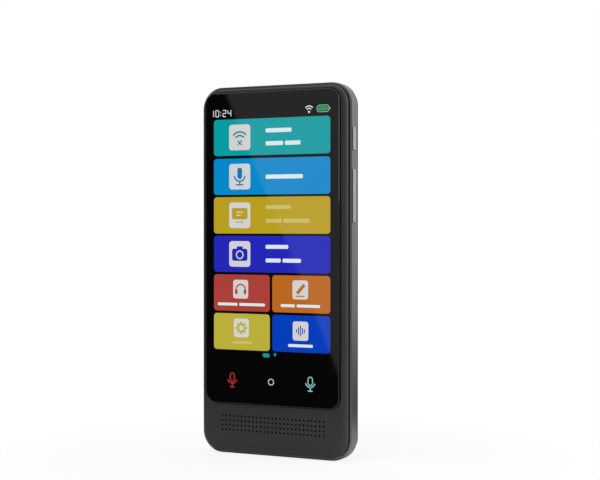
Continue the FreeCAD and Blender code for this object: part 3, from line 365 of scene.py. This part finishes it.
FINISHES = {
    "shell_plastic": grained("shell_plastic", linear(41, 41, 43), 0.45, depth=0.00003, grain=2600.0),
    "band_metal": grained("band_metal", linear(118, 118, 120), 0.22, metallic=1.0, grain=2400.0,
                          depth=0.000006, stretch=(1, 1, 0.12)),
    "button_metal": grained("button_metal", linear(176, 177, 180), 0.28, metallic=1.0, grain=2400.0,
                            depth=0.000006, stretch=(1, 1, 0.12)),
    "screen_glass": black_glass("screen_glass"),
    "window_glass": black_glass("window_glass"),
    "adhesive": grained("adhesive", linear(28, 28, 30), 0.7),
    "clear_film": grained("clear_film", linear(210, 214, 218), 0.25),
    "display_cell": grained("display_cell", linear(24, 25, 30), 0.2),
    "white_plastic": grained("white_plastic", linear(214, 214, 210), 0.45),
    "foam": grained("foam", linear(38, 38, 40), 0.95, depth=0.0001, grain=1500.0),
    "chassis_alloy": grained("chassis_alloy", linear(176, 178, 180), 0.38, metallic=1.0),
    "board": grained("board", linear(18, 78, 46), 0.4),
    "flex_film": grained("flex_film", linear(176, 108, 34), 0.35),
    "can_steel": grained("can_steel", linear(190, 192, 194), 0.3, metallic=1.0),
    "chip": grained("chip", linear(30, 30, 32), 0.5),
    "connector": grained("connector", linear(40, 38, 36), 0.45),
    "battery_wrap": grained("battery_wrap", linear(52, 54, 60), 0.4),
    "screw_steel": grained("screw_steel", linear(150, 152, 156), 0.3, metallic=1.0),
    "camera_plastic": grained("camera_plastic", linear(22, 22, 24), 0.5),
    "lens": lens_coating("lens"),
    "dark_ring": grained("dark_ring", linear(58, 58, 62), 0.3, metallic=0.8),
    "socket_steel": grained("socket_steel", linear(178, 180, 184), 0.28, metallic=1.0),
    "contact_gold": grained("contact_gold", linear(222, 180, 96), 0.25, metallic=1.0),
    "speaker_plastic": grained("speaker_plastic", linear(30, 30, 32), 0.5),
    "mesh": woven("mesh", linear(70, 70, 72)),
    "cone_film": grained("cone_film", linear(60, 60, 64), 0.5),
    "coil_copper": grained("coil_copper", linear(184, 104, 60), 0.35, metallic=1.0, stretch=(1, 8, 1)),
    "magnet": grained("magnet", linear(120, 122, 126), 0.3, metallic=1.0),
    "dome_steel": grained("dome_steel", linear(196, 198, 200), 0.22, metallic=1.0),
}

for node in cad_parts.values():
    for slot in node.material_slots:
        name = slot.material.name.split(".")[0] if slot.material else ""
        if name in FINISHES:
            slot.material = FINISHES[name]


# Cover glass with the screen picture on it

def glass_ring(inset, y):
    """The glass's outline drawn in by an inset, at one level along Y."""
    flat = rounded(GLASS_WIDTH - inset * 2, GLASS_HIGH - GLASS_LOW - inset * 2, GLASS_CORNER - inset, 16)
    middle = (GLASS_HIGH + GLASS_LOW) / 2
    return np.stack([flat[:, 0], np.full(len(flat), y), flat[:, 1] + middle], 1)


BASE_FACE = GLASS_FACE + GLASS_SKIN
glass_rings = [glass_ring(0, GLASS_REAR), glass_ring(0, BASE_FACE + GLASS_BEVEL),
               glass_ring(BEVEL_MIDDLE, BASE_FACE + BEVEL_MIDDLE), glass_ring(GLASS_BEVEL, BASE_FACE)]
cover = piece("cover_glass", [skin(glass_rings)], FINISHES["screen_glass"])
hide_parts("touch_glass")

TILE_FACE = BASE_FACE - 0.006
PLATE_FACE = BASE_FACE - 0.012
GLYPH_FACE = BASE_FACE - 0.018
TOP_FACE = BASE_FACE - 0.024

COLOURS = {
    "teal": linear(0, 158, 163), "azure": linear(0, 138, 203), "ochre": linear(186, 160, 30),
    "indigo": linear(34, 38, 185), "red": linear(172, 64, 55), "orange": linear(188, 104, 30),
    "olive": linear(188, 177, 58), "blue": linear(0, 62, 188), "plate": linear(212, 212, 212),
    "ink": linear(222, 234, 236), "faint": linear(206, 190, 112), "green": linear(40, 146, 96),
    "pale_green": linear(150, 196, 172), "teal_ink": linear(24, 132, 140),
    "azure_ink": linear(16, 122, 178), "key_red": linear(196, 50, 46),
    "key_teal": linear(150, 206, 204), "white": linear(225, 225, 225),
}
GLOW = {name: lit("glow_" + name, colour) for name, colour in COLOURS.items()}


def tile(name, colour, left, right, low, high, corner=1.3):
    """A coloured tile of the picture."""
    outline = rounded(right - left, high - low, corner, 8)
    return piece(name, [pane(outline, ((left + right) / 2, (low + high) / 2), TILE_FACE, BASE_FACE)],
                 GLOW[colour])


def bars(name, colour, spans):
    """Greeked lines of text: one small rounded bar for each word."""
    made = []
    for left, right, low, high in spans:
        height = high - low
        outline = rounded(right - left, height, min(height, right - left) * 0.3, 5)
        made.append(pane(outline, ((left + right) / 2, (low + high) / 2), GLYPH_FACE, BASE_FACE))
    return piece(name, made, GLOW[colour])


def marks(name, colour, shapes, face=GLYPH_FACE):
    """A glyph from strokes and panes, each given as a function of the front and back levels."""
    return piece(name, [shape(face, BASE_FACE) for shape in shapes], GLOW[colour])


def line(path, width, loop=False):
    return lambda front, back: stroke(path, width, front, back, loop)


def spot(outline, centre, turn=0.0):
    return lambda front, back: pane(outline, centre, front, back, turn)


def moved(path, centre):
    return np.asarray(path, dtype=float) + np.array(centre)


WIDE = ((129.2, 115.2, "teal"), (114.1, 100.15, "azure"), (99.3, 85.25, "ochre"), (84.45, 70.4, "indigo"))
for place, (high, low, colour) in enumerate(WIDE, start=1):
    tile("tile_wide_%d" % place, colour, -25.05, 25.05, low, high)
    outline = rounded(9.3, 9.85, 1.2, 6)
    piece("icon_plate_wide_%d" % place, [pane(outline, (-13.6, (high + low) / 2), PLATE_FACE, BASE_FACE)],
          GLOW["plate"])
SMALL = ((69.5, 55.45, -25.05, -0.5, "red"), (69.5, 55.45, 0.55, 25.05, "orange"),
         (54.5, 40.55, -25.05, -0.5, "olive"), (54.5, 40.55, 0.55, 25.05, "blue"))
SMALL_PLATES = ((-13.2, 63.9), (12.5, 64.1), (-12.9, 49.0), (12.6, 48.6))
for place, ((high, low, left, right, colour), spot_at) in enumerate(zip(SMALL, SMALL_PLATES), start=1):
    tile("tile_small_%d" % place, colour, left, right, low, high)
    piece("icon_plate_small_%d" % place, [pane(rounded(6.6, 7.2, 1.0, 6), spot_at, PLATE_FACE, BASE_FACE)],
          GLOW["plate"])


# Icons on the wide tiles

ICON = -13.6
marks("icon_arcs", "teal_ink", [
    line(arc((ICON, 120.4), 3.9, 42, 138), 0.62), line(arc((ICON, 120.4), 2.5, 42, 138), 0.62),
    line([(ICON - 0.9, 119.2), (ICON + 0.9, 121.0)], 0.5),
    line([(ICON - 0.9, 121.0), (ICON + 0.9, 119.2)], 0.5)])
marks("icon_voice", "azure_ink", [
    spot(rounded(2.1, 4.4, 1.04, 8), (ICON, 108.4)), line(arc((ICON, 107.6), 2.3, 185, 355), 0.58),
    line([(ICON, 105.4), (ICON, 104.0)], 0.58), line([(ICON - 1.6, 104.0), (ICON + 1.6, 104.0)], 0.55)])
marks("icon_card", "ochre", [
    spot(rounded(6.9, 4.4, 0.7, 5), (ICON, 92.9)), line([(ICON - 1.7, 89.7), (ICON + 1.7, 89.7)], 0.4)])
marks("icon_card_line", "plate", [line([(ICON - 1.5, 93.5), (ICON + 1.5, 93.5)], 0.4),
                                  line([(ICON - 1.5, 92.3), (ICON + 0.5, 92.3)], 0.4)], TOP_FACE)
marks("icon_camera", "indigo", [
    spot(rounded(6.8, 4.7, 0.9, 6), (ICON, 77.1)), spot(rounded(2.6, 1.3, 0.3, 4), (ICON, 79.7))])
marks("icon_camera_lens", "plate", [line(arc((ICON, 77.1), 1.45, 0, 352, 32), 0.5, True)], TOP_FACE)
marks("icon_headphones", "red", [
    line(arc((-13.2, 63.6), 2.1, -5, 185), 0.55), spot(rounded(1.1, 1.9, 0.4, 5), (-15.1, 62.9)),
    spot(rounded(1.1, 1.9, 0.4, 5), (-11.3, 62.9))])
marks("icon_pencil", "orange", [
    spot(rounded(1.25, 4.6, 0.25, 4), (12.7, 64.4), -0.75), line([(10.6, 61.7), (14.2, 61.7)], 0.45)])
teeth = [spot(rounded(0.8, 0.9, 0.15, 3),
              (-12.9 + 2.05 * math.cos(step * math.pi / 4), 49.0 + 2.05 * math.sin(step * math.pi / 4)),
              step * math.pi / 4) for step in range(8)]
marks("icon_gear", "olive", [line(arc((-12.9, 49.0), 1.35, 0, 352, 32), 0.8, True)] + teeth)
waves = [line([(12.6 + 0.85 * step, 48.6 - tall), (12.6 + 0.85 * step, 48.6 + tall)], 0.42)
         for step, tall in ((-2, 0.6), (-1, 1.4), (0, 2.0), (1, 1.2), (2, 0.7))]
marks("icon_wave", "blue", waves)


# Greeked labels, one bar for each word

bars("label_1", "ink", [(-2.3, 8.8, 123.7, 125.3), (-2.3, 5.2, 118.8, 120.4), (6.0, 12.6, 118.8, 120.4)])
bars("label_2", "ink", [(-2.3, 13.6, 106.1, 107.7)])
bars("label_3", "faint", [(-2.3, 8.5, 94.6, 96.1), (-2.3, 4.6, 89.4, 90.9), (5.4, 16.4, 89.4, 90.9)])
bars("label_4", "ink", [(-2.3, 7.4, 79.5, 81.0), (-2.3, 4.2, 74.3, 75.8), (5.0, 12.8, 74.3, 75.8)])
bars("label_5", "ink", [(-23.3, -14.6, 57.5, 58.6), (-13.8, -2.6, 57.5, 58.6)])
bars("label_6", "ink", [(4.2, 10.2, 57.5, 58.6), (11.0, 20.8, 57.5, 58.6)])
bars("label_7", "faint", [(-16.8, -8.4, 42.9, 43.9)])
bars("label_8", "ink", [(7.4, 17.8, 42.5, 43.6)])


# Status line

SEGMENTS = {"0": "abcdef", "1": "bc", "2": "abged", "4": "fgbc"}


def digit(character, left, low):
    """A digit from straight strokes, as on a seven-part display."""
    width, height, thick = 1.3, 2.4, 0.3
    right, high, middle = left + width, low + height, low + height / 2
    strokes = {"a": ((left, high), (right, high)), "b": ((right, middle), (right, high)),
               "c": ((right, low), (right, middle)), "d": ((left, low), (right, low)),
               "e": ((left, low), (left, middle)), "f": ((left, middle), (left, high)),
               "g": ((left, middle), (right, middle))}
    return [line([strokes[part][0], strokes[part][1]], thick) for part in SEGMENTS[character]]


clock = []
for character, left in (("1", -26.5), ("0", -24.2), ("2", -21.0), ("4", -18.8)):
    clock += digit(character, left, 130.4)
clock += [spot(circle(0.2, 12), (-22.0, level)) for level in (131.0, 132.1)]
marks("clock", "white", clock)
signal_foot = (16.2, 130.9)
marks("signal", "white", [spot(circle(0.42, 16), signal_foot),
                          line(arc(signal_foot, 1.3, 45, 135, 12), 0.4),
                          line(arc(signal_foot, 2.2, 45, 135, 14), 0.4)])
marks("battery_frame", "pale_green", [line(moved(rounded(4.9, 2.5, 0.9, 6), (22.0, 132.0)), 0.24, True),
                                      spot(rounded(0.4, 0.9, 0.15, 3), (24.85, 132.0))])
marks("battery_level", "green", [spot(rounded(4.0, 1.7, 0.5, 5), (22.0, 132.0))])
marks("page_pill", "teal", [spot(rounded(3.0, 1.5, 0.7, 6), (-2.1, 38.9))])
marks("page_dot", "teal", [spot(circle(0.55, 20), (1.76, 39.3))])


# Touch keys

def microphone(centre, colour, name, outlined):
    """A microphone mark: a capsule, a cradle arc, a stem and a foot."""
    x, z = centre
    if outlined:
        capsule = line(moved(rounded(1.9, 3.1, 0.94, 8), (x, z + 1.1)), 0.36, True)
    else:
        capsule = spot(rounded(2.0, 3.3, 0.99, 8), (x, z + 1.1))
    marks(name, colour, [capsule, line(arc((x, z + 0.8), 2.0, 195, 345), 0.38),
                         line([(x, z - 1.2), (x, z - 2.5)], 0.38),
                         line([(x - 1.0, z - 2.6), (x + 1.0, z - 2.6)], 0.38)])


microphone((-16.9, 28.8), "key_red", "key_left", True)
microphone((16.7, 28.8), "key_teal", "key_right", True)
marks("key_home", "white", [line(arc((0, 28.8), 1.12, 0, 350, 36), 0.26, True)])


# Camera window in the back, with its lens

def window_ring(inset, y):
    """The window's outline drawn in by an inset, at one level along Y."""
    flat = rounded(WINDOW_WIDTH - inset * 2, WINDOW_HEIGHT - inset * 2, WINDOW_CORNER - inset, 12)
    return np.stack([flat[:, 0], np.full(len(flat), y), flat[:, 1] + WINDOW_LEVEL], 1)


window_rings = [window_ring(0, WINDOW_REAR), window_ring(0, WINDOW_FACE - WINDOW_BEVEL),
                window_ring(WINDOW_BEVEL, WINDOW_FACE)]
window = piece("window_pane", [skin(window_rings)], FINISHES["window_glass"])
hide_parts("camera_window")
piece("lens_ring", [turned([(2.95, WINDOW_FACE - 0.1), (2.95, 6.29), (2.85, 6.32), (2.55, 6.32),
                            (2.4, 6.27), (2.4, WINDOW_FACE - 0.1)], (0, WINDOW_LEVEL))],
      FINISHES["dark_ring"], smooth=True)
bulge = np.linspace(0, math.pi / 2, 12)[:-1]
crown = np.stack([2.36 * np.cos(bulge), WINDOW_FACE + 0.01 + 0.07 * np.sin(bulge)], 1)
piece("lens_glass", [turned(np.concatenate([[(2.38, WINDOW_FACE - 0.05)], crown]), (0, WINDOW_LEVEL))],
      FINISHES["lens"], smooth=True)


# Snap domes under the side buttons

def snap_dome(centre):
    """A thin cap of a ball standing out along X: at each share of the way from rim to crown, its radius
    falls with the cosine and its height rises with the sine. The inside follows it, one sheet deeper."""
    share = np.linspace(0, math.pi / 2 * 0.97, 14)
    quarter = np.stack([np.cos(share), np.sin(share)], 1)
    outer = quarter * (DOME_RADIUS, DOME_RISE)
    inner = quarter * (DOME_RADIUS - DOME_SHEET, DOME_RISE - DOME_SHEET)
    profile = np.concatenate([outer[::-1], inner])
    angles = np.linspace(0, 2 * math.pi, DOME_POINTS, endpoint=False)
    rings = np.stack([np.repeat(profile[:, 1:], DOME_POINTS, 1) + DOME_FOOT,
                      np.outer(profile[:, 0], np.cos(angles)) + BUTTON_LEVEL,
                      np.outer(profile[:, 0], np.sin(angles)) + centre], -1)
    return skin(rings)


SNAP_DOMES = (
    ("power_snap_dome", "power_dome", "power_press", (120.8,), 0.2),
    ("volume_snap_domes", "volume_domes", "volume_rock", (93.4, 105.4), 0.6),
)
for name, node, joint, centres, keep in SNAP_DOMES:
    domes = piece(name, [snap_dome(centre) for centre in centres], FINISHES["dome_steel"],
                  smooth=True)
    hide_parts(node)
    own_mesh(domes)


# Floor, light and camera

FLOOR_RADIUS = 0.15
STUDIO_EDGE = (0.82077, -0.43266, 0.37302)
DARK_SIDE = 0.015
DIM_SIDE = 0.45
CAMERA_LENS = 85.98
CAMERA_SENSOR = 36.0
CAMERA_PLACE = (0.25703, -0.48670, 0.08739)
CAMERA_TILT = 89.521
CAMERA_TURN = 27


def softbox(name, place, aim, width, height, power, glossy=True):
    """A soft area lamp that points at a spot. A lamp with no gloss lights surfaces without a reflection."""
    data = bpy.data.lights.new(name, "AREA")
    data.shape = "RECTANGLE"
    data.size = width
    data.size_y = height
    data.energy = power
    lamp = bpy.data.objects.new(name, data)
    lamp.location = place
    lamp.rotation_euler = (Vector(aim) - Vector(place)).to_track_quat("-Z", "Y").to_euler()
    lamp.visible_glossy = glossy
    bpy.context.scene.collection.objects.link(lamp)
    return lamp


def background_share(s):
    """1 for rays from the camera and through clear surfaces, and 0 for all others. So a glossy surface
    reflects the studio and not the white."""
    node = s.tree.nodes.new("ShaderNodeLightPath")
    camera = Wire(s.tree, node.outputs["Is Camera Ray"])
    passed = Wire(s.tree, node.outputs["Is Transmission Ray"])
    return camera.math("MAXIMUM", passed)


def make_floor():
    """A pale disc under the object that shows white to the camera, less a part of the object's soft
    shadow, and that fades out towards its rim."""
    mesh = bpy.data.meshes.new("floor")
    rim = circle(FLOOR_RADIUS, 96)
    mesh.from_pydata(np.column_stack([rim, np.zeros(len(rim))]).tolist(), [], [list(range(len(rim)))])
    material, s = new_material("floor")
    across, along, _ = s.split(s.place())
    distance = (across * across + along * along).math("SQRT")
    outward = distance.between(FLOOR_RADIUS * 0.5, FLOOR_RADIUS * 0.98)
    grain = s.noise(30.0)
    base = s.mix(grain, (0.84, 0.84, 0.84, 1), (0.88, 0.88, 0.88, 1))
    plain = s.add("BsdfDiffuse", 0, Color=base)
    glow = s.add("Emission", 0, Color=(1, 1, 1, 1), Strength=1.0)
    share = background_share(s) * (outward * 0.15 + 0.85)
    solid = s.add("MixShader", 0, n0=share, n1=plain, n2=glow)
    surface = s.add("MixShader", 0, n0=outward, n1=solid, n2=s.add("BsdfTransparent"))
    mesh.materials.append(finish_material(material, surface))
    made = bpy.data.objects.new("floor", mesh)
    bpy.context.scene.collection.objects.link(made)


def make_world():
    """A studio round the object, by direction: dark in front on one side of a slanting edge, dim on the
    other, and bright behind."""
    world = bpy.data.worlds.new("studio")
    bpy.context.scene.world = world
    world.use_nodes = True
    world.node_tree.nodes.clear()
    s = Shader(world.node_tree)
    x, y, z = s.split(s.add("TexCoord", "Generated"))
    edge = x * STUDIO_EDGE[0] + y * STUDIO_EDGE[1] + z * STUDIO_EDGE[2]
    front = edge.between(-0.002, 0.002) * DIM_SIDE + DARK_SIDE
    behind = y.between(-0.1, 0.4)
    level = front + behind * (z.between(-0.14, -0.03) * 0.75 + 0.02)
    shown = s.mix(background_share(s), s.add("CombineXYZ", 0, X=level, Y=level, Z=level), (1, 1, 1, 1))
    surface = s.add("Background", 0, Color=shown, Strength=1.0)
    end = world.node_tree.nodes.new("ShaderNodeOutputWorld")
    world.node_tree.links.new(surface.socket, end.inputs["Surface"])


make_floor()
make_world()
softbox("top_light", (-0.3, -0.5, 1.3), (0, 0, 0.08), width=1.0, height=0.8, power=7.0, glossy=False)
softbox("front_light", (0.7, -1.2, 0.6), (0, 0, 0.07), width=0.8, height=0.8, power=4.0, glossy=False)
softbox("side_light", (1.2, 0.3, 0.5), (0, 0, 0.07), width=0.5, height=0.8, power=3.0)

camera_data = bpy.data.cameras.new("camera")
camera_data.lens = CAMERA_LENS
camera_data.sensor_width = CAMERA_SENSOR
camera = bpy.data.objects.new("camera", camera_data)
camera.location = CAMERA_PLACE
camera.rotation_euler = (math.radians(CAMERA_TILT), 0, math.radians(CAMERA_TURN))
bpy.context.scene.collection.objects.link(camera)
bpy.context.scene.camera = camera
bpy.context.scene.view_settings.view_transform = "Standard"
